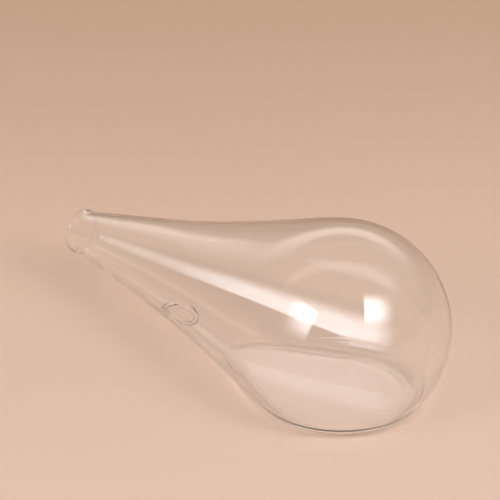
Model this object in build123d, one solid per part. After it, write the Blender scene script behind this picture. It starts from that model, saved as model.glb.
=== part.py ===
from build123d import *
import math
import os

# Blown clear-glass retort flask that lies on a flattened side.
# Frame: the origin is on the resting plane, straight below the middle of the bulb.
# The neck points to -X and +Z is up. All lengths are in millimetres.

bulb_radius = 50.0
axis_height = 35.0  # from the resting plane to the middle of the bulb
axis_tilt = 2.5  # degrees, the axis rises from the mouth towards the bulb
wall = 1.4
fold_radius = 10.0  # outside radius of the rolled edge round the flattened side
panel_radius = 30.0  # round end of the flat base panel, below the bulb's middle
panel_tip_radius = 8.0
panel_tip_distance = 51.0

# Distances along the axis are measured from the middle of the bulb towards the mouth.
mouth_distance = 160.0
rim_joint = 155.0  # where the flared mouth rim is fused to the neck
neck_joint = 74.0  # where the neck is fused to the bulb
neck_end_radius = 10.9
neck_end_slope = 0.2  # how much the radius grows for each millimetre towards the bulb
neck_stations = ((128.0, 16.4), (96.0, 23.3), (64.0, 32.3), (32.0, 42.5))

lip_radius = 11.0
lip_thickness = 1.4

port_distance = 94.5  # along the axis to the middle of the port, at the wall
port_reach = 23.7  # from the axis to the wall's outside there
port_turn = 11.3  # degrees from straight down towards -Y
port_lean = 14.0  # degrees towards the mouth, so that the port is square to the wall
port_seat_radius = 9.75  # the hole in the neck wall that the bead is fused into
port_bore_radius = 7.0
bead_proud_outside = 1.0
bead_proud_inside = 0.6
bead_round = 1.1

margin = 20.0  # how far cutting bodies reach past what they cut
offset_samples = 12


def placed(shape):
    """Moves a shape from the axis frame, +X from mouth to bulb, into the part's frame."""
    return Pos(0, 0, axis_height) * Rot(0, -axis_tilt, 0) * shape


def wall_line(inset):
    """The wall's outline in the XZ plane from the neck's end to the bulb's middle, moved inwards."""
    points = [(-rim_joint, 0, neck_end_radius)]
    points += [(-distance, 0, radius) for distance, radius in neck_stations]
    points += [(0, 0, bulb_radius)]
    outer = Spline(*points, tangents=[(1, 0, neck_end_slope), (1, 0, 0)])
    if inset == 0:
        return outer
    moved = []
    for step in range(offset_samples + 1):
        place = outer @ (step / offset_samples)
        along = outer % (step / offset_samples)
        moved.append(place + Vector(along.Z, 0, -along.X) * inset)
    return Spline(*moved, tangents=[outer % 0, outer % 1])


def pear(inset):
    """The closed pear shape before flattening, with the neck run on past its end."""
    line = wall_line(inset)
    start = line @ 0 - (line % 0) * margin
    end = line @ 1
    radius = bulb_radius - inset
    corner = radius * math.sqrt(0.5)
    cap = ThreePointArc(end, (corner, 0, corner), (radius, 0, 0))
    axis = Line((radius, 0, 0), (start.X, 0, 0))
    close = Line((start.X, 0, 0), start)
    run_on = Line(start, line @ 0)
    outline = make_face([run_on, line, cap, axis, close])
    return revolve(outline, Axis.X)


def flattened(inset):
    """The pear in place, cut flat at the bottom, with a rolled edge round the flat."""
    body = placed(pear(inset))
    body = split(body, bisect_by=Plane.XY.offset(inset), keep=Keep.TOP)
    flat = body.faces().sort_by(Axis.Z)[0]
    return fillet(flat.edges(), fold_radius - inset)


def slab(start, end):
    """Everything between two distances from the bulb's middle, square to the axis."""
    length = start - end
    side = 2 * (bulb_radius + margin)
    middle = -(start + end) / 2
    return placed(Pos(middle, 0, 0) * Box(length, side, side))


def port_frame():
    """A location on the axis whose +Z runs out through the middle of the side port."""
    root = port_distance - port_reach * math.tan(math.radians(port_lean))
    turned = Pos(-root, 0, 0) * Rot(-port_turn, 0, 0) * Rot(180, 0, 0)
    return Pos(0, 0, axis_height) * Rot(0, -axis_tilt, 0) * turned * Rot(0, -port_lean, 0)


def port_cylinder(radius):
    """A cylinder from the neck's axis out past the wall, along the port."""
    length = bulb_radius
    return port_frame() * Pos(0, 0, length / 2) * Cylinder(radius, length)


def glass_wall():
    """The whole blown wall from the neck's end to the bulb's end."""
    return flattened(0) - flattened(wall) - slab(rim_joint + margin, rim_joint)


def make_base_panel():
    """The flat teardrop panel that the flask lies on, inside the rolled edge."""
    lean = math.asin((panel_radius - panel_tip_radius) / panel_tip_distance)
    back = math.sin(lean)
    out = math.cos(lean)
    wide = (-panel_radius * back, panel_radius * out)
    narrow = (-panel_tip_distance - panel_tip_radius * back, panel_tip_radius * out)
    outline = [
        ThreePointArc((wide[0], -wide[1]), (panel_radius, 0), wide),
        Line(wide, narrow),
        ThreePointArc(
            narrow,
            (-panel_tip_distance - panel_tip_radius, 0),
            (narrow[0], -narrow[1]),
        ),
        Line((narrow[0], -narrow[1]), (wide[0], -wide[1])),
    ]
    return extrude(make_face(outline), amount=wall, dir=(0, 0, 1))


def make_bulb(whole, base_panel):
    """The round body with its rolled lower edge."""
    end = -(bulb_radius + margin)
    return (whole & slab(neck_joint, end)) - base_panel


def make_neck(whole):
    """The tapered neck with a round seat for the side port's bead."""
    tube = whole & slab(rim_joint, neck_joint)
    return tube - port_cylinder(port_seat_radius)


def make_mouth_rim():
    """The slightly flared, fire-polished ring at the open end of the neck."""
    crown = lip_thickness / 2
    outside = Spline(
        (-rim_joint, 0, neck_end_radius),
        (-(mouth_distance - crown), 0, lip_radius),
        tangents=[(-1, 0, -neck_end_slope), (-1, 0, neck_end_slope)],
    )
    lip_bottom = lip_radius - lip_thickness
    lip = ThreePointArc(
        outside @ 1,
        (-mouth_distance, 0, lip_radius - crown),
        (-(mouth_distance - crown), 0, lip_bottom),
    )
    inside = Line((-(mouth_distance - crown), 0, lip_bottom), (-rim_joint, 0, lip_bottom))
    joint = Line((-rim_joint, 0, lip_bottom), (-rim_joint, 0, neck_end_radius))
    return placed(revolve(make_face([outside, lip, inside, joint]), Axis.X))


def make_port_rim():
    """The thick rounded bead round the side port, following the curve of the neck."""
    around = slab(port_distance + margin, port_distance - margin)
    shell = placed(pear(-bead_proud_outside)) - placed(pear(wall + bead_proud_inside))
    ring = port_cylinder(port_seat_radius) - port_cylinder(port_bore_radius)
    bead = shell & around & ring
    return fillet(bead.edges().filter_by(GeomType.LINE, reverse=True), bead_round)


def save(node, shape):
    shape.label = node
    export_step(shape, f"parts/{node}.step")
    print(node, "solids", len(shape.solids()), "volume", round(shape.volume, 1))


os.makedirs("parts", exist_ok=True)
blown_wall = glass_wall()
panel = make_base_panel()
save("base_panel", panel)
save("bulb", make_bulb(blown_wall, panel))
save("neck", make_neck(blown_wall))
save("mouth_rim", make_mouth_rim())
save("side_port_rim", make_port_rim())
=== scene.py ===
"""Looks for a blown clear-glass retort flask that lies on its flattened side."""

import math

import bpy
import numpy as np
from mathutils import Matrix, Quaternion, Vector
from mathutils.geometry import delaunay_2d_cdt


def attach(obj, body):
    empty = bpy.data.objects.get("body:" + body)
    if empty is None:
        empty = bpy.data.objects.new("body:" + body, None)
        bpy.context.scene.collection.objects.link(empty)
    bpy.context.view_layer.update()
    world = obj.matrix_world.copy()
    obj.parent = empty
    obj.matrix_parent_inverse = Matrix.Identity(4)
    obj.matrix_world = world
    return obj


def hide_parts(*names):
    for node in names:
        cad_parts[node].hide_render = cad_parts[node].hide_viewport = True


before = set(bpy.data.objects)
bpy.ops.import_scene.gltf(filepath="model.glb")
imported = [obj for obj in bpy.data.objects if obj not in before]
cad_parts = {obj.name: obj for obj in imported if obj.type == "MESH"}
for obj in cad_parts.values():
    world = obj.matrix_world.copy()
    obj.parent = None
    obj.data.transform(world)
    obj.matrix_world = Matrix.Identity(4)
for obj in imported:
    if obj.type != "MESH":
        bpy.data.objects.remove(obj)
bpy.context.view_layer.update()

# ---------------------------------------------------------------- sizes, in metres
# The frame is the CAD's: resting plane at z = 0, bulb's middle above the origin, mouth to -X.
BULB_RADIUS = 0.050
AXIS_HEIGHT = 0.035
AXIS_TILT = math.radians(2.5)
WALL = 0.0014
FOLD_RADIUS = 0.010
MOUTH_AT = -0.160
RIM_JOINT = -0.155
NECK_JOINT = -0.074
NECK_END_RADIUS = 0.0109
NECK_END_SLOPE = 0.2
STATIONS = ((-0.128, 0.0164), (-0.096, 0.0233), (-0.064, 0.0323), (-0.032, 0.0425))
LIP_RADIUS = 0.0110
LIP_THICKNESS = 0.0014
PORT_AT = -0.0945
PORT_REACH = 0.0237
PORT_TURN = math.radians(11.3)
PORT_LEAN = math.radians(14)
PORT_SEAT = 0.00975
PORT_BORE = 0.0070
BEAD_OUT = 0.0010
BEAD_IN = 0.0006
PANEL_RADIUS = 0.030
PANEL_TIP_RADIUS = 0.008
PANEL_TIP_AT = -0.051

# Blown glass varies slowly in thickness: (wave per metre, phase, share of the wall).
THICKNESS_WAVES = (
    ((42, 11, 25), 0.4, 0.05),
    ((-17, 58, 31), 2.1, 0.04),
    ((75, -34, -52), 4.0, 0.025),
)
# Thicker lines in the wall: (height, half width).
ROLL_RIDGE = (0.00045, 0.0012)
PANEL_RIDGE = (0.00030, 0.0010)
UNDERSIDE_RIDGE = (0.00045, 0.0012)
RIDGE_START = 0.006

COLUMNS = 300  # round the axis
ROW_STEP = 0.0010
PANEL_STEP = 0.002
PORT_COLUMNS = 144
PORT_SEARCH = (0.012, 0.040)  # where the wall lies along the port's axis
SMALL = 1e-7

AXIS = np.array([math.cos(AXIS_TILT), 0.0, math.sin(AXIS_TILT)])
UP = np.array([-math.sin(AXIS_TILT), 0.0, math.cos(AXIS_TILT)])
SIDE = np.array([0.0, 1.0, 0.0])
CENTRE = np.array([0.0, 0.0, AXIS_HEIGHT])

# ---------------------------------------------------------------- camera and studio
# Azimuths are clockwise from straight away from the camera, seen from above.
CAMERA_AZIMUTH = math.radians(40.49)
CAMERA_ELEVATION = math.radians(29.22)
CAMERA_DISTANCE = 1.714
CAMERA_AIM = Vector((-0.1189, 0.0761, 0.0))
CAMERA_LENS = 252.0
CAMERA_SENSOR = 36

FLOOR_SIZE = 9
FLOOR_GAP = 0.0002
# Painted light falloff: the sheet's colour is lighter near the camera, where the softboxes stand, and
# darker and warmer towards the back.
FLOOR_NEAR = (0.712, 0.530, 0.422)
FLOOR_MIDDLE = (0.732, 0.512, 0.386)
FLOOR_FAR = (0.660, 0.433, 0.298)
FLOOR_DEPTHS = (-0.15, 0.46)
FLOOR_MOTTLE = 0.10

# Stops over the height of a direction, from 0 at the horizon to 1 overhead.
ROOM_COLOURS = ((0.0, (1.0, 0.75, 0.58)), (0.14, (1.0, 0.80, 0.66)), (0.36, (1.0, 0.93, 0.88)))
ROOM_HEIGHTS = ((0.0, 0.42), (0.14, 0.30), (0.34, 0.40), (1.0, 0.50))
WALL_HEIGHTS = ((0.27, 0.0), (0.36, 1.0), (0.52, 1.0), (0.58, 0.0))
WALL_DEPTHS = ((0.60, 0.0), (0.84, 1.0))
WALL_LIGHT = 1.0
STRIP_NORMAL = (0.10, 0.98, -0.15)
STRIP_HEIGHTS = ((0.55, 0.0), (0.72, 1.0))
STRIP_EDGES = ((0.05, 1.0), (0.13, 0.0))
STRIP_LIGHT = 0.9
LIGHT_TARGET = (-0.02, 0.0, 0.03)
SOFTBOX_DISTANCE = 1.4
SOFTBOX_COLOUR = (1.0, 1.04, 1.10)


# ---------------------------------------------------------------- the wall's shape
def spline_slopes():
    """Stations of the wall's outline and its slope at each, for a clamped cubic spline."""
    xs = np.array([RIM_JOINT] + [x for x, _ in STATIONS] + [0.0])
    rs = np.array([NECK_END_RADIUS] + [r for _, r in STATIONS] + [BULB_RADIUS])
    count = len(xs)
    matrix = np.eye(count)
    right = np.zeros(count)
    right[0] = NECK_END_SLOPE
    for i in range(1, count - 1):
        before, after = xs[i] - xs[i - 1], xs[i + 1] - xs[i]
        matrix[i, i - 1 : i + 2] = after, 2 * (before + after), before
        left_slope = (rs[i] - rs[i - 1]) / before
        right_slope = (rs[i + 1] - rs[i]) / after
        right[i] = 3 * (after * left_slope + before * right_slope)
    return xs, rs, np.linalg.solve(matrix, right)


XS, RS, SLOPES = spline_slopes()


def outline(x):
    """Radius and slope of the wall's outline at x along the axis, up to the bulb's middle."""
    x = np.asarray(x, float)
    i = np.clip(np.searchsorted(XS, x) - 1, 0, len(XS) - 2)
    h = XS[i + 1] - XS[i]
    t = (x - XS[i]) / h
    r0, r1, m0, m1 = RS[i], RS[i + 1], SLOPES[i] * h, SLOPES[i + 1] * h
    radius = (2 * t**3 - 3 * t**2 + 1) * r0 + (t**3 - 2 * t**2 + t) * m0
    radius += (3 * t**2 - 2 * t**3) * r1 + (t**3 - t**2) * m1
    slope = (6 * t**2 - 6 * t) * (r0 - r1) + (3 * t**2 - 4 * t + 1) * m0 + (3 * t**2 - 2 * t) * m1
    return radius, slope / h


def around(turn):
    """Unit directions square to the axis. turn is 0 at the top and grows towards +Y."""
    turn = np.asarray(turn, float)[..., None]
    return np.cos(turn) * UP + np.sin(turn) * SIDE


def ray(u, turn):
    """Start, direction, length to the unflattened wall and its normal, for each (u, turn).

    u runs along the axis up to the bulb's middle, and then along the round end's arc.
    """
    u = np.asarray(u, float)
    radial = around(turn)
    lean = np.maximum(u, 0.0)[..., None] / BULB_RADIUS
    direction = np.cos(lean) * radial + np.sin(lean) * AXIS
    start = CENTRE + np.minimum(u, 0.0)[..., None] * AXIS
    radius, slope = outline(np.minimum(u, 0.0))
    slope = np.where(u > 0, 0.0, slope)[..., None]
    normal = direction - slope * AXIS
    normal /= np.linalg.norm(normal, axis=-1, keepdims=True)
    return start, direction, radius, normal


def fold_line(count=900):
    """Centre line of the rolled edge, where the wall moved in by FOLD_RADIUS is that high.

    Returns the u and turn of its half on one side, and the closed loop of points.
    """
    u = np.linspace(-0.080, 0.045, 6000)
    _, _, radius, _ = ray(u, np.zeros_like(u))
    _, slope = outline(np.minimum(u, 0.0))
    slope = np.where(u > 0, 0.0, slope)
    lean = np.maximum(u, 0.0) / BULB_RADIUS
    long = np.sqrt(1 + slope**2)
    base = AXIS_HEIGHT + np.minimum(u, 0.0) * AXIS[2] + FOLD_RADIUS * slope / long * AXIS[2]
    reach = radius - FOLD_RADIUS / long
    cosine = (FOLD_RADIUS - base - reach * np.sin(lean) * AXIS[2]) / (reach * np.cos(lean) * UP[2])
    inside = np.abs(cosine) <= 1
    u, cosine = u[inside], cosine[inside]
    turn = np.arccos(cosine)
    start, direction, radius, normal = ray(u, turn)
    half = start + radius[:, None] * direction - FOLD_RADIUS * normal
    loop = np.vstack([half, (half * (1, -1, 1))[::-1]])
    steps = np.linalg.norm(np.diff(np.vstack([loop, loop[:1]]), axis=0), axis=1)
    run = np.concatenate([[0], np.cumsum(steps)])
    wanted = np.linspace(0, run[-1], count + 1)
    closed = np.vstack([loop, loop[:1]])
    return u, turn, np.stack([np.interp(wanted, run, closed[:, k]) for k in range(3)], 1)


FOLD_U, FOLD_TURN, FOLD = fold_line()


def in_polygon(points, polygon):
    """Which 2D points lie inside a closed polygon."""
    inside = np.zeros(len(points), bool)
    x, y = points[:, 0], points[:, 1]
    x0, y0 = polygon[:, 0], polygon[:, 1]
    x1, y1 = np.roll(x0, -1), np.roll(y0, -1)
    for a, b, c, d in zip(x0, y0, x1, y1):
        if b != d:
            crosses = (b > y) != (d > y)
            inside ^= crosses & (x < (c - a) * (y - b) / (d - b) + a)
    return inside


def nearest_on(line, points):
    """The nearest point of a line of short spans to each point."""
    a, ab = line[:-1], np.diff(line, axis=0)
    length = (ab**2).sum(1)
    best = np.empty_like(points)
    for begin in range(0, len(points), 2000):
        part = points[begin : begin + 2000, None]
        t = np.clip(((part - a) * ab).sum(-1) / length, 0, 1)
        spot = a + t[..., None] * ab
        k = ((part - spot) ** 2).sum(-1).argmin(1)
        best[begin : begin + 2000] = spot[np.arange(len(k)), k]
    return best


def outer(u, turn):
    """Points and normals of the outer wall: the pear, flattened, with its rolled edge."""
    u, turn = np.broadcast_arrays(np.asarray(u, float), np.asarray(turn, float))
    shape = u.shape
    u, turn = u.ravel(), turn.ravel()
    start, direction, radius, normal = ray(u, turn)
    point = start + radius[:, None] * direction
    ball = point - FOLD_RADIUS * normal
    near = (u > FOLD_U[0] - 0.002) & (u < FOLD_U[-1] + 0.002)
    low = np.where(near & (ball[:, 2] < FOLD_RADIUS))[0]
    if len(low):
        down = direction[low, 2]
        flat = start[low] - (start[low, 2] / down)[:, None] * direction[low]
        on_flat = in_polygon(flat[:, :2], FOLD[:, :2]) & (down < 0)
        point[low[on_flat]] = flat[on_flat]
        normal[low[on_flat]] = (0, 0, -1)
        roll = low[~on_flat]
        short, long = np.zeros(len(roll)), radius[roll].copy()
        short += 0.3 * long
        for _ in range(34):
            middle = (short + long) / 2
            trial = start[roll] + middle[:, None] * direction[roll]
            gap = np.linalg.norm(trial - nearest_on(FOLD, trial), axis=1) - FOLD_RADIUS
            out = (gap > 0) & (trial[:, 2] < FOLD_RADIUS + SMALL)
            long = np.where(out, middle, long)
            short = np.where(out, short, middle)
        found = start[roll] + short[:, None] * direction[roll]
        point[roll] = found
        away = found - nearest_on(FOLD, found)
        normal[roll] = away / np.linalg.norm(away, axis=1, keepdims=True)
    return point.reshape(*shape, 3), normal.reshape(*shape, 3)


def panel_outline():
    """The teardrop edge of the base panel, counter-clockwise from above, as (x, y)."""
    lean = math.asin((PANEL_RADIUS - PANEL_TIP_RADIUS) / -PANEL_TIP_AT)
    turn_at = math.pi / 2 + lean
    wide = np.linspace(-turn_at, turn_at, 140)
    narrow = np.linspace(turn_at, 2 * math.pi - turn_at, 18)
    big = PANEL_RADIUS * np.stack([np.cos(wide), np.sin(wide)], 1)
    small = PANEL_TIP_RADIUS * np.stack([np.cos(narrow), np.sin(narrow)], 1) + (PANEL_TIP_AT, 0)
    side = np.linspace(0, 1, 54)[1:-1, None]
    upper = big[-1] + side * (small[0] - big[-1])
    lower = small[-1] + side * (big[0] - small[-1])
    return np.vstack([big, upper, small, lower])


def ridge_lines():
    """Where the wall is a little thicker, as (line on the outer wall, height, half width).

    That is round the rolled edge, inside it, and along the neck's underside.
    """
    start, direction, radius, _ = ray(FOLD_U, FOLD_TURN)
    top = (start + radius[:, None] * direction)[::8]
    roll_start = np.vstack([top, (top * (1, -1, 1))[::-1]])
    roll_start = np.vstack([roll_start, roll_start[:1]])
    flat_edge = FOLD - (0, 0, FOLD_RADIUS)
    u = np.linspace(RIM_JOINT + RIDGE_START, FOLD_U[0], 90)
    start, direction, radius, _ = ray(u, np.full(len(u), math.pi))
    underside = start + radius[:, None] * direction
    return (
        (roll_start, *ROLL_RIDGE),
        (flat_edge[::3], *PANEL_RIDGE),
        (underside, *UNDERSIDE_RIDGE),
    )


RIDGES = ridge_lines()


def thickness(points):
    """The wall's thickness at points of the outer wall, and its gradient."""
    amount = np.ones(len(points))
    gradient = np.zeros_like(points)
    for wave, phase, swing in THICKNESS_WAVES:
        wave = np.array(wave, float)
        angle = points @ wave + phase
        amount += swing * np.sin(angle)
        gradient += swing * np.cos(angle)[:, None] * wave
    amount, gradient = WALL * amount, WALL * gradient
    for line, height, width in RIDGES:
        close = np.where(points[:, 2] < line[:, 2].max() + 4 * width)[0]
        away = points[close] - nearest_on(line, points[close])
        swell = height * np.exp(-(away**2).sum(1) / width**2)
        amount[close] += swell
        gradient[close] -= (2 * swell / width**2)[:, None] * away
    return amount, gradient


def inner(points, normals):
    """Points of the inner wall behind points of the outer wall, and its normals, out of the glass."""
    depth, gradient = thickness(points)
    gradient -= (gradient * normals).sum(1, keepdims=True) * normals
    facing = -(normals + gradient)
    return points - depth[:, None] * normals, facing / np.linalg.norm(facing, axis=1, keepdims=True)


def place_of(points):
    """(u, turn) of points near the wall, the reverse of ray()."""
    offset = points - CENTRE
    along = offset @ AXIS
    turn = np.arctan2(offset @ SIDE, offset @ UP)
    across = np.hypot(offset @ SIDE, offset @ UP)
    u = np.where(along > 0, BULB_RADIUS * np.arctan2(along, across), along)
    return u, turn % (2 * math.pi)


# ---------------------------------------------------------------- meshes
def mesh_object(name, points, normals, faces, seam_from, body, node, slot, materials):
    """A closed piece of glass with exact normals. Faces from seam_from on are fused to a neighbour."""
    mesh = bpy.data.meshes.new(name)
    mesh.from_pydata([tuple(p) for p in points], [], faces)
    for material in materials:
        mesh.materials.append(material)
    material_numbers = np.zeros(len(faces), np.int32)
    material_numbers[seam_from:] = 1
    mesh.polygons.foreach_set("material_index", material_numbers)
    mesh.polygons.foreach_set("use_smooth", np.ones(len(faces), bool))
    mesh.update()
    mesh.normals_split_custom_set_from_vertices([tuple(n) for n in normals])
    piece = bpy.data.objects.new(name, mesh)
    bpy.context.scene.collection.objects.link(piece)
    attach(piece, body)
    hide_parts(node)


def closed_shell(points, normals, faces):
    """Gives a sheet of outer wall its inner wall and the fused edges between them."""
    count = len(points)
    behind, facing = inner(points, normals)
    all_faces = [tuple(f) for f in faces]
    all_faces += [tuple(i + count for i in reversed(f)) for f in faces]
    seam_from = len(all_faces)
    edges = {(f[i], f[(i + 1) % len(f)]) for f in all_faces[: len(faces)] for i in range(len(f))}
    for a, b in sorted(e for e in edges if (e[1], e[0]) not in edges):
        all_faces.append((b, a, a + count, b + count))
    return np.vstack([points, behind]), np.vstack([normals, facing]), all_faces, seam_from


def triangulate(flat_points, loops):
    """Triangles over 2D points, with each loop of point numbers kept as edges."""
    edges = [(loop[i], loop[(i + 1) % len(loop)]) for loop in loops for i in range(len(loop))]
    found = delaunay_2d_cdt([Vector(p) for p in flat_points], edges, [], 0, 1e-9)
    back = {i: sources[0] for i, sources in enumerate(found[3]) if sources}
    return [tuple(back[i] for i in f) for f in found[2]]


def wall_sheet(rows, pole, hole):
    """(u, turn) grid over rows of u, with an optional pole at the round end and one hole.

    hole is an ordered loop of (u, turn). Round it the grid is triangulated to fit the loop exactly.
    """
    turns = np.arange(COLUMNS) * 2 * math.pi / COLUMNS
    grid_u, grid_turn = np.meshgrid(rows, turns, indexing="ij")
    us, ts = list(grid_u.ravel()), list(grid_turn.ravel())
    stretch = float(np.interp(hole[:, 0].mean(), XS, RS))
    loop = np.stack([hole[:, 0], hole[:, 1] * stretch], 1)
    step = rows[1] - rows[0]
    low, high = loop.min(0) - 3 * step, loop.max(0) + 3 * step
    i0, i1 = np.searchsorted(rows, [low[0], high[0]])
    j0, j1 = np.searchsorted(turns * stretch, [low[1], high[1]])
    i0, i1, j0, j1 = i0 - 1, min(i1, len(rows) - 1), j0 - 1, j1
    faces = []
    for i in range(len(rows) - 1):
        for j in range(COLUMNS):
            if not (i0 <= i < i1 and j0 <= j < j1):
                k = (j + 1) % COLUMNS
                low_row, high_row = i * COLUMNS, (i + 1) * COLUMNS
                faces.append((low_row + j, high_row + j, high_row + k, low_row + k))
    border = [(i0, j) for j in range(j0, j1)] + [(i, j1) for i in range(i0, i1)]
    border += [(i1, j) for j in range(j1, j0, -1)] + [(i, j0) for i in range(i1, i0, -1)]
    patch = [i * COLUMNS + j for i, j in border]
    edge_count = len(patch)
    fine = [i * COLUMNS + j for i in range(i0 + 1, i1) for j in range(j0 + 1, j1)]
    spots = np.array([(us[n], ts[n] * stretch) for n in fine])
    gaps = np.sqrt(((spots[:, None] - loop[None]) ** 2).sum(-1)).min(1)
    keep = ~in_polygon(spots, loop) & (gaps > 0.6 * step)
    patch += [n for n, kept in zip(fine, keep) if kept]
    first = len(us)
    us += list(hole[:, 0])
    ts += list(hole[:, 1])
    patch += list(range(first, first + len(hole)))
    flat = [(us[n], ts[n] * stretch) for n in patch]
    hole_loop = list(range(len(patch) - len(hole), len(patch)))
    triangles = triangulate(flat, [list(range(edge_count)), hole_loop])
    flat = np.array(flat)
    middles = np.array([flat[list(t)].mean(0) for t in triangles])
    outside = ~in_polygon(middles, loop)
    for t, kept in zip(triangles, outside):
        if kept:
            a, b, c = flat[list(t)]
            turn = (b[0] - a[0]) * (c[1] - a[1]) - (b[1] - a[1]) * (c[0] - a[0])
            t = t if turn > 0 else t[::-1]
            faces.append(tuple(patch[n] for n in t))
    if pole is not None:
        last = (len(rows) - 1) * COLUMNS
        us.append(pole)
        ts.append(0.0)
        for j in range(COLUMNS):
            faces.append((last + j, len(us) - 1, last + (j + 1) % COLUMNS))
    return np.array(us), np.array(ts), faces


def used_only(points, normals, faces):
    """Drops the points that no face uses."""
    used = sorted({i for f in faces for i in f})
    number = {old: new for new, old in enumerate(used)}
    return points[used], normals[used], [tuple(number[i] for i in f) for f in faces]


def build_bulb(materials):
    """The round body with its rolled lower edge and the seat of the base panel."""
    edge = panel_outline()
    on_floor = np.column_stack([edge, np.zeros(len(edge))])
    hole = np.stack(place_of(on_floor), 1)
    length = -NECK_JOINT + BULB_RADIUS * math.pi / 2
    rows = np.linspace(NECK_JOINT, BULB_RADIUS * math.pi / 2, round(length / ROW_STEP) + 1)
    u, turn, faces = wall_sheet(rows[:-1], rows[-1], hole)
    points, normals = outer(u, turn)
    seat = slice(len(rows[:-1]) * COLUMNS, len(rows[:-1]) * COLUMNS + len(edge))
    points[seat] = on_floor
    normals[seat] = (0, 0, -1)
    points, normals, faces = used_only(points, normals, faces)
    shell = closed_shell(points, normals, faces)
    mesh_object("bulb_glass", *shell, "root", "bulb", "clear_glass", materials)


def build_base_panel(materials):
    """The flat panel inside the rolled edge, with the same edge points as its seat."""
    edge = panel_outline()
    step = PANEL_STEP
    xs = np.arange(edge[:, 0].min() + step, edge[:, 0].max(), step)
    ys = np.arange(-PANEL_RADIUS + step, PANEL_RADIUS, step)
    spots = np.array([(x, y) for x in xs for y in ys])
    gaps = np.sqrt(((spots[:, None] - edge[None]) ** 2).sum(-1)).min(1)
    spots = spots[in_polygon(spots, edge) & (gaps > 0.6 * step)]
    flat = np.vstack([edge, spots])
    faces = []
    for t in triangulate(flat, [list(range(len(edge)))]):
        a, b, c = flat[list(t)]
        turn = (b[0] - a[0]) * (c[1] - a[1]) - (b[1] - a[1]) * (c[0] - a[0])
        if in_polygon(((a + b + c) / 3)[None], edge)[0]:
            faces.append(t if turn < 0 else t[::-1])
    points = np.column_stack([flat, np.zeros(len(flat))])
    normals = np.tile((0.0, 0.0, -1.0), (len(flat), 1))
    shell = closed_shell(points, normals, faces)
    mesh_object("base_panel_glass", *shell, "root", "base_panel", "clear_glass", materials)


# ---------------------------------------------------------------- side port
def port_axes():
    """The port's root on the neck's axis, its direction out through the wall, and two square to it."""
    down = -math.cos(PORT_TURN) * UP - math.sin(PORT_TURN) * SIDE
    out = math.cos(PORT_LEAN) * down - math.sin(PORT_LEAN) * AXIS
    root = CENTRE + (PORT_AT + PORT_REACH * math.tan(PORT_LEAN)) * AXIS
    first = AXIS - (AXIS @ out) * out
    first /= np.linalg.norm(first)
    return root, out, first, np.cross(out, first)


PORT_ROOT, PORT_OUT, PORT_FIRST, PORT_SECOND = port_axes()


def port_wall(reach, angle):
    """Points and normals of the outer wall at polar places round the port's axis."""
    reach, angle = np.broadcast_arrays(reach, angle)
    lateral = reach[..., None] * (
        np.cos(angle)[..., None] * PORT_FIRST + np.sin(angle)[..., None] * PORT_SECOND
    )
    low = np.full(reach.shape, PORT_SEARCH[0])
    high = np.full(reach.shape, PORT_SEARCH[1])
    for _ in range(40):
        middle = (low + high) / 2
        trial = PORT_ROOT + lateral + middle[..., None] * PORT_OUT
        offset = trial - CENTRE
        across = np.hypot(offset @ SIDE, offset @ UP)
        out = across > outline(offset @ AXIS)[0]
        high = np.where(out, middle, high)
        low = np.where(out, low, middle)
    point = PORT_ROOT + lateral + low[..., None] * PORT_OUT
    u, turn = place_of(point)
    return point, ray(u, turn)[3]


def bezier(a, b, c, d, count):
    """Points on a cubic Bezier curve, without its first."""
    t = np.linspace(0, 1, count + 1)[1:, None]
    a, b, c, d = (np.array(v, float) for v in (a, b, c, d))
    return (1 - t) ** 3 * a + 3 * (1 - t) ** 2 * t * b + 3 * (1 - t) * t**2 * c + t**3 * d


def build_port_rim(materials):
    """The fire-polished bead.

    Its section is (distance from the port's axis, depth, share of the wall).
    """
    crest = (PORT_SEAT + PORT_BORE) / 2
    swell = (PORT_SEAT - PORT_BORE) / 2
    outside = bezier(
        (PORT_SEAT, 0), (PORT_SEAT - 0.55 * swell, 0),
        (crest + 0.6 * swell, -BEAD_OUT), (crest, -BEAD_OUT), 12,
    )
    nose = bezier(
        (crest, -BEAD_OUT), (crest - 0.62 * swell, -BEAD_OUT),
        (PORT_BORE, -0.45 * BEAD_OUT), (PORT_BORE, 0), 12,
    )
    section = [(PORT_SEAT, 0.0, 0.0)] + [(r, w, 0.0) for r, w in np.vstack([outside, nose])]
    land = 6
    section += [(PORT_BORE, 0.0, (k + 1) / land) for k in range(land)]
    back = [(r, -w * BEAD_IN / BEAD_OUT, 1.0) for r, w in nose[:-1][::-1]]
    back += [(r, -w * BEAD_IN / BEAD_OUT, 1.0) for r, w in outside[::-1]]
    section += back + [(PORT_SEAT, 0.0, 1.0)]
    section = np.array(section)
    angles = np.arange(PORT_COLUMNS) * 2 * math.pi / PORT_COLUMNS
    reach, angle = np.meshgrid(section[:, 0], angles, indexing="ij")
    wall_points, wall_normals = port_wall(reach, angle)
    seat_points, seat_normals = wall_points[0], wall_normals[0]
    depth = thickness(seat_points)[0]
    depths = section[:, 1][:, None] + section[:, 2][:, None] * depth[None]
    points = wall_points - depths[..., None] * wall_normals
    ring_piece(
        "side_port_rim_glass", "side_port_rim", points, seat_points, seat_normals, materials
    )


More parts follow.
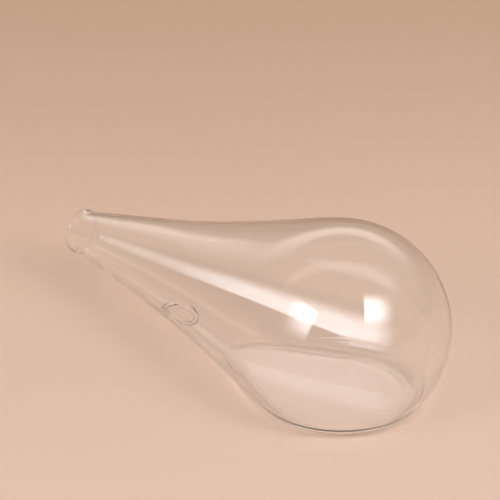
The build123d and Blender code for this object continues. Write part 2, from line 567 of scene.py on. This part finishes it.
def ring_piece(name, node, points, seat_points, seat_normals, materials):
    """A ring from a grid of section by column, open at its seat, whose edge matches the wall's."""
    behind, facing = inner(seat_points, seat_normals)
    points[0], points[-1] = seat_points, behind
    along = np.gradient(points, axis=0)
    across = np.roll(points, -1, axis=1) - np.roll(points, 1, axis=1)
    normals = np.cross(along, across)
    normals /= np.linalg.norm(normals, axis=-1, keepdims=True)
    if (normals[0] * seat_normals).sum() < 0:
        normals = -normals
    normals[0], normals[-1] = seat_normals, facing
    rows, columns = points.shape[:2]
    faces = []
    for i in range(rows - 1):
        for j in range(columns):
            k = (j + 1) % columns
            first, second = i * columns, (i + 1) * columns
            faces.append((first + j, first + k, second + k, second + j))
    a, b, c = (points.reshape(-1, 3)[n] for n in faces[0][:3])
    if np.cross(b - a, c - a) @ normals.reshape(-1, 3)[faces[0][0]] < 0:
        faces = [f[::-1] for f in faces]
    seam_from = len(faces)
    edges = {(f[i], f[(i + 1) % 4]) for f in faces for i in range(4)}
    last = (rows - 1) * columns
    for j in range(columns):
        k = (j + 1) % columns
        seam = (j, last + j, last + k, k)
        faces.append(seam if (k, j) not in edges else seam[::-1])
    flat_points, flat_normals = points.reshape(-1, 3), normals.reshape(-1, 3)
    mesh_object(
        name, flat_points, flat_normals, faces, seam_from, "root", node,
        "fire_polished_glass", materials,
    )


# ---------------------------------------------------------------- neck and mouth
def build_neck(materials):
    """The tapered neck, with the seat of the side port's bead."""
    angles = np.arange(PORT_COLUMNS) * 2 * math.pi / PORT_COLUMNS
    seat, seat_normals = port_wall(np.full(PORT_COLUMNS, PORT_SEAT), angles)
    hole = np.stack(place_of(seat), 1)
    length = NECK_JOINT - RIM_JOINT
    rows = np.linspace(RIM_JOINT, NECK_JOINT, round(length / ROW_STEP) + 1)
    u, turn, faces = wall_sheet(rows, None, hole)
    points, normals = outer(u, turn)
    count = len(rows) * COLUMNS
    points[count : count + PORT_COLUMNS] = seat
    normals[count : count + PORT_COLUMNS] = seat_normals
    points, normals, faces = used_only(points, normals, faces)
    shell = closed_shell(points, normals, faces)
    mesh_object("neck_glass", *shell, "root", "neck", "clear_glass", materials)


def build_mouth_rim(materials):
    """The slightly flared ring at the mouth, rounded in the flame."""
    turns = np.arange(COLUMNS) * 2 * math.pi / COLUMNS
    seat_points, seat_normals = outer(np.full(COLUMNS, RIM_JOINT), turns)
    behind = inner(seat_points, seat_normals)[0]
    crown = LIP_THICKNESS / 2
    crown_at = MOUTH_AT + crown
    bore = LIP_RADIUS - LIP_THICKNESS
    third = (RIM_JOINT - crown_at) / 3
    start = (RIM_JOINT, NECK_END_RADIUS)
    bend = 0.55 * crown
    outside = bezier(
        start, (RIM_JOINT - third, NECK_END_RADIUS - NECK_END_SLOPE * third),
        (crown_at + third, LIP_RADIUS - NECK_END_SLOPE * third), (crown_at, LIP_RADIUS), 22,
    )
    over = bezier(
        (crown_at, LIP_RADIUS), (crown_at - bend, LIP_RADIUS + NECK_END_SLOPE * bend),
        (MOUTH_AT, LIP_RADIUS - crown + bend), (MOUTH_AT, LIP_RADIUS - crown), 12,
    )
    under = bezier(
        (MOUTH_AT, LIP_RADIUS - crown), (MOUTH_AT, LIP_RADIUS - crown - bend),
        (crown_at - bend, bore), (crown_at, bore), 12,
    )
    end = (RIM_JOINT + WALL * math.sin(math.atan(NECK_END_SLOPE)), bore + 0.00003)
    inside = bezier(
        (crown_at, bore), (crown_at + third, bore),
        (end[0] - third, end[1] - NECK_END_SLOPE * third * 0.5), end, 16,
    )
    section = np.vstack([[start], outside, over, under, inside])
    along, across = section[:, 0][:, None, None], section[:, 1][:, None, None]
    points = CENTRE + along * AXIS + across * around(turns)[None]
    share = np.zeros(len(section))
    share[-16:] = np.linspace(0, 1, 17)[1:]
    share = share * share * (3 - 2 * share)
    points = points + share[:, None, None] * (behind - points[-1])[None]
    ring_piece("mouth_rim_glass", "mouth_rim", points, seat_points, seat_normals, materials)


# ---------------------------------------------------------------- materials
def new_material(name):
    """A node material with nothing in it but its output."""
    material = bpy.data.materials.new(name)
    material.use_nodes = True
    material.node_tree.nodes.clear()
    out = material.node_tree.nodes.new("ShaderNodeOutputMaterial")
    return material, material.node_tree.nodes, material.node_tree.links, out


def ramp(nodes, links, source, stops):
    """A colour ramp of greys or colours over a factor."""
    node = nodes.new("ShaderNodeValToRGB")
    node.color_ramp.elements[0].position = stops[0][0]
    node.color_ramp.elements[1].position = stops[-1][0]
    for position, _ in stops[1:-1]:
        node.color_ramp.elements.new(position)
    for element, (_, value) in zip(node.color_ramp.elements, stops):
        element.color = (value, value, value, 1) if isinstance(value, (int, float)) else (*value, 1)
    links.new(source, node.inputs["Fac"])
    return node.outputs["Color"]


def noise(nodes, links, scale, detail, stretch=(1, 1, 1), distortion=0.0):
    """Noise in the object's own frame."""
    place = nodes.new("ShaderNodeTexCoord")
    mapping = nodes.new("ShaderNodeMapping")
    mapping.inputs["Scale"].default_value = stretch
    links.new(place.outputs["Object"], mapping.inputs["Vector"])
    node = nodes.new("ShaderNodeTexNoise")
    node.inputs["Scale"].default_value = scale
    node.inputs["Detail"].default_value = detail
    node.inputs["Distortion"].default_value = distortion
    links.new(mapping.outputs["Vector"], node.inputs["Vector"])
    return node.outputs["Fac"]


def calculate(nodes, links, operation, *values):
    """A math node over sockets and numbers."""
    node = nodes.new("ShaderNodeMath")
    node.operation = operation
    for place, value in zip(node.inputs, values):
        if isinstance(value, (int, float)):
            place.default_value = value
        else:
            links.new(value, place)
    return node.outputs["Value"]


def glass(name, tint, smudge, ripple_scale, ripple_height, stretch):
    """Blown borosilicate: clear, with faint handling smudges and slow drawn-out ripples."""
    material, nodes, links, out = new_material(name)
    shader = nodes.new("ShaderNodeBsdfPrincipled")
    shader.inputs["Base Color"].default_value = (*tint, 1)
    shader.inputs["IOR"].default_value = 1.47
    shader.inputs["Transmission Weight"].default_value = 1.0
    links.new(shader.outputs["BSDF"], out.inputs["Surface"])
    smudges = noise(nodes, links, 34, 3, distortion=0.6)
    links.new(ramp(nodes, links, smudges, ((0.5, 0.0), (0.72, smudge))), shader.inputs["Roughness"])
    bump = nodes.new("ShaderNodeBump")
    bump.inputs["Strength"].default_value = 1.0
    bump.inputs["Distance"].default_value = ripple_height
    links.new(noise(nodes, links, ripple_scale, 1, stretch), bump.inputs["Height"])
    links.new(bump.outputs["Normal"], shader.inputs["Normal"])
    return material


def fused_material():
    """Where two pieces are one glass there is no surface, so the joint faces let all light through."""
    material, nodes, links, out = new_material("fused_glass_joint")
    shader = nodes.new("ShaderNodeBsdfTransparent")
    links.new(shader.outputs["BSDF"], out.inputs["Surface"])
    return material


def floor_material():
    """A warm, matt, seamless studio sheet, its colour lighter near the camera and darker and warmer
    towards the back: painted light falloff across the sheet.
    """
    material, nodes, links, out = new_material("studio_sheet")
    shader = nodes.new("ShaderNodeBsdfPrincipled")
    shader.inputs["Roughness"].default_value = 0.75
    shader.inputs["Specular IOR Level"].default_value = 0.25
    place = nodes.new("ShaderNodeTexCoord")
    depth = nodes.new("ShaderNodeVectorMath")
    depth.operation = "DOT_PRODUCT"
    depth.inputs[1].default_value = (-math.sin(CAMERA_AZIMUTH), math.cos(CAMERA_AZIMUTH), 0)
    links.new(place.outputs["Object"], depth.inputs[0])
    cloud = noise(nodes, links, 3, 4)
    mottled = calculate(nodes, links, "MULTIPLY_ADD", cloud, FLOOR_MOTTLE, depth.outputs["Value"])
    share = nodes.new("ShaderNodeMapRange")
    share.inputs["From Min"].default_value = FLOOR_DEPTHS[0]
    share.inputs["From Max"].default_value = FLOOR_DEPTHS[1]
    links.new(mottled, share.inputs["Value"])
    # Painted light falloff: lighter near the camera, darker and warmer far from it.
    stops = ((0.0, FLOOR_NEAR), (0.55, FLOOR_MIDDLE), (1.0, FLOOR_FAR))
    colour = ramp(nodes, links, share.outputs["Result"], stops)
    links.new(colour, shader.inputs["Base Color"])
    links.new(shader.outputs["BSDF"], out.inputs["Surface"])
    return material


# ---------------------------------------------------------------- studio
def build_floor():
    """A seamless sheet a hair below the resting plane."""
    bpy.ops.mesh.primitive_plane_add(size=FLOOR_SIZE, location=(0, 0, -FLOOR_GAP))
    floor = bpy.context.object
    floor.name = "studio_floor"
    floor.data.materials.append(floor_material())


def room():
    """Radiance over direction: a dim, warm studio with a lit wall behind and a strip overhead."""
    world = bpy.data.worlds.new("studio")
    bpy.context.scene.world = world
    world.use_nodes = True
    nodes, links = world.node_tree.nodes, world.node_tree.links
    place = nodes.new("ShaderNodeTexCoord")
    turned = nodes.new("ShaderNodeVectorRotate")
    turned.rotation_type = "Z_AXIS"
    turned.inputs["Angle"].default_value = -CAMERA_AZIMUTH
    links.new(place.outputs["Generated"], turned.inputs["Vector"])
    split = nodes.new("ShaderNodeSeparateXYZ")
    links.new(turned.outputs["Vector"], split.inputs["Vector"])
    height = ramp(nodes, links, split.outputs["Z"], WALL_HEIGHTS)
    depth = ramp(nodes, links, split.outputs["Y"], WALL_DEPTHS)
    wall = calculate(nodes, links, "MULTIPLY", height, depth)
    across = nodes.new("ShaderNodeVectorMath")
    across.operation = "DOT_PRODUCT"
    across.inputs[1].default_value = STRIP_NORMAL
    links.new(turned.outputs["Vector"], across.inputs[0])
    off_strip = calculate(nodes, links, "ABSOLUTE", across.outputs["Value"])
    strip = ramp(nodes, links, off_strip, STRIP_EDGES)
    overhead = ramp(nodes, links, split.outputs["Z"], STRIP_HEIGHTS)
    strip = calculate(nodes, links, "MULTIPLY", strip, overhead)
    base = ramp(nodes, links, split.outputs["Z"], ROOM_HEIGHTS)
    strength = calculate(nodes, links, "MULTIPLY_ADD", wall, WALL_LIGHT, base)
    strength = calculate(nodes, links, "MULTIPLY_ADD", strip, STRIP_LIGHT, strength)
    background = nodes["Background"]
    colour = ramp(nodes, links, split.outputs["Z"], ROOM_COLOURS)
    links.new(colour, background.inputs["Color"])
    links.new(strength, background.inputs["Strength"])


def soft_edge(nodes, links, coordinate, low, high):
    """1 across the middle of a softbox, falling to 0 over the last share at its low and high ends."""
    sides = []
    for start, stop in ((0.0, low), (1.0, 1.0 - high)):
        fade = nodes.new("ShaderNodeMapRange")
        fade.interpolation_type = "SMOOTHSTEP"
        fade.inputs["From Min"].default_value = start
        fade.inputs["From Max"].default_value = stop
        links.new(coordinate, fade.inputs["Value"])
        sides.append(fade.outputs["Result"])
    return calculate(nodes, links, "MULTIPLY", *sides)


def softbox(name, azimuth, elevation, size, roll, power, fade):
    """A rectangular softbox that faces the object, dimmed towards its edges.

    fade is the share of its width at either side, then of its height, over which it dims.
    """
    data = bpy.data.lights.new(name, "AREA")
    data.shape = "RECTANGLE"
    data.size, data.size_y = size
    data.energy = power
    data.color = SOFTBOX_COLOUR
    data.use_nodes = True
    nodes, links = data.node_tree.nodes, data.node_tree.links
    place = nodes.new("ShaderNodeNewGeometry")
    split = nodes.new("ShaderNodeSeparateXYZ")
    links.new(place.outputs["Parametric"], split.inputs["Vector"])
    across = soft_edge(nodes, links, split.outputs["X"], fade[0], fade[1])
    along = soft_edge(nodes, links, split.outputs["Y"], fade[2], fade[3])
    links.new(calculate(nodes, links, "MULTIPLY", across, along), nodes["Emission"].inputs["Strength"])
    turn = math.radians(azimuth) - CAMERA_AZIMUTH
    lift = math.radians(elevation)
    away = Vector((math.sin(turn) * math.cos(lift), math.cos(turn) * math.cos(lift), math.sin(lift)))
    lamp = bpy.data.objects.new(name, data)
    lamp.location = Vector(LIGHT_TARGET) + SOFTBOX_DISTANCE * away
    upright = away.to_track_quat("Z", "Y")
    lamp.rotation_euler = (upright @ Quaternion((0, 0, 1), math.radians(roll))).to_euler()
    bpy.context.scene.collection.objects.link(lamp)


def place_camera():
    """Looks down at the flask from beyond its round end."""
    data = bpy.data.cameras.new("camera")
    data.lens = CAMERA_LENS
    data.sensor_width = CAMERA_SENSOR
    data.clip_start = 0.05
    camera = bpy.data.objects.new("camera", data)
    level = math.cos(CAMERA_ELEVATION)
    towards = Vector((
        -math.sin(CAMERA_AZIMUTH) * level,
        math.cos(CAMERA_AZIMUTH) * level,
        -math.sin(CAMERA_ELEVATION),
    ))
    camera.location = CAMERA_AIM - CAMERA_DISTANCE * towards
    camera.rotation_euler = towards.to_track_quat("-Z", "Y").to_euler()
    bpy.context.scene.collection.objects.link(camera)
    bpy.context.scene.camera = camera


# ---------------------------------------------------------------- the scene
joint_glass = fused_material()
clear_glass = glass("clear_glass", (0.997, 0.999, 0.997), 0.05, 16, 0.00004, (0.35, 1, 1))
rim_glass = glass("fire_polished_glass", (0.995, 0.998, 0.995), 0.03, 60, 0.00002, (1, 1, 1))

build_bulb((clear_glass, joint_glass))
build_base_panel((clear_glass, joint_glass))
build_neck((clear_glass, joint_glass))
build_mouth_rim((rim_glass, joint_glass))
build_port_rim((rim_glass, joint_glass))

build_floor()
room()
softbox("left_softbox", -124, 27, (0.93, 0.93), 0, 18.5, (0.80, 0.05, 0.60, 0.05))
softbox("right_softbox", 128, 38, (0.86, 0.94), -34, 27, (0.05, 0.75, 0.45, 0.45))
place_camera()

bpy.context.scene.view_settings.view_transform = "Standard"
# Light that reaches the table through the glass keeps its full strength only unblurred.
bpy.context.scene.cycles.blur_glossy = 0.0
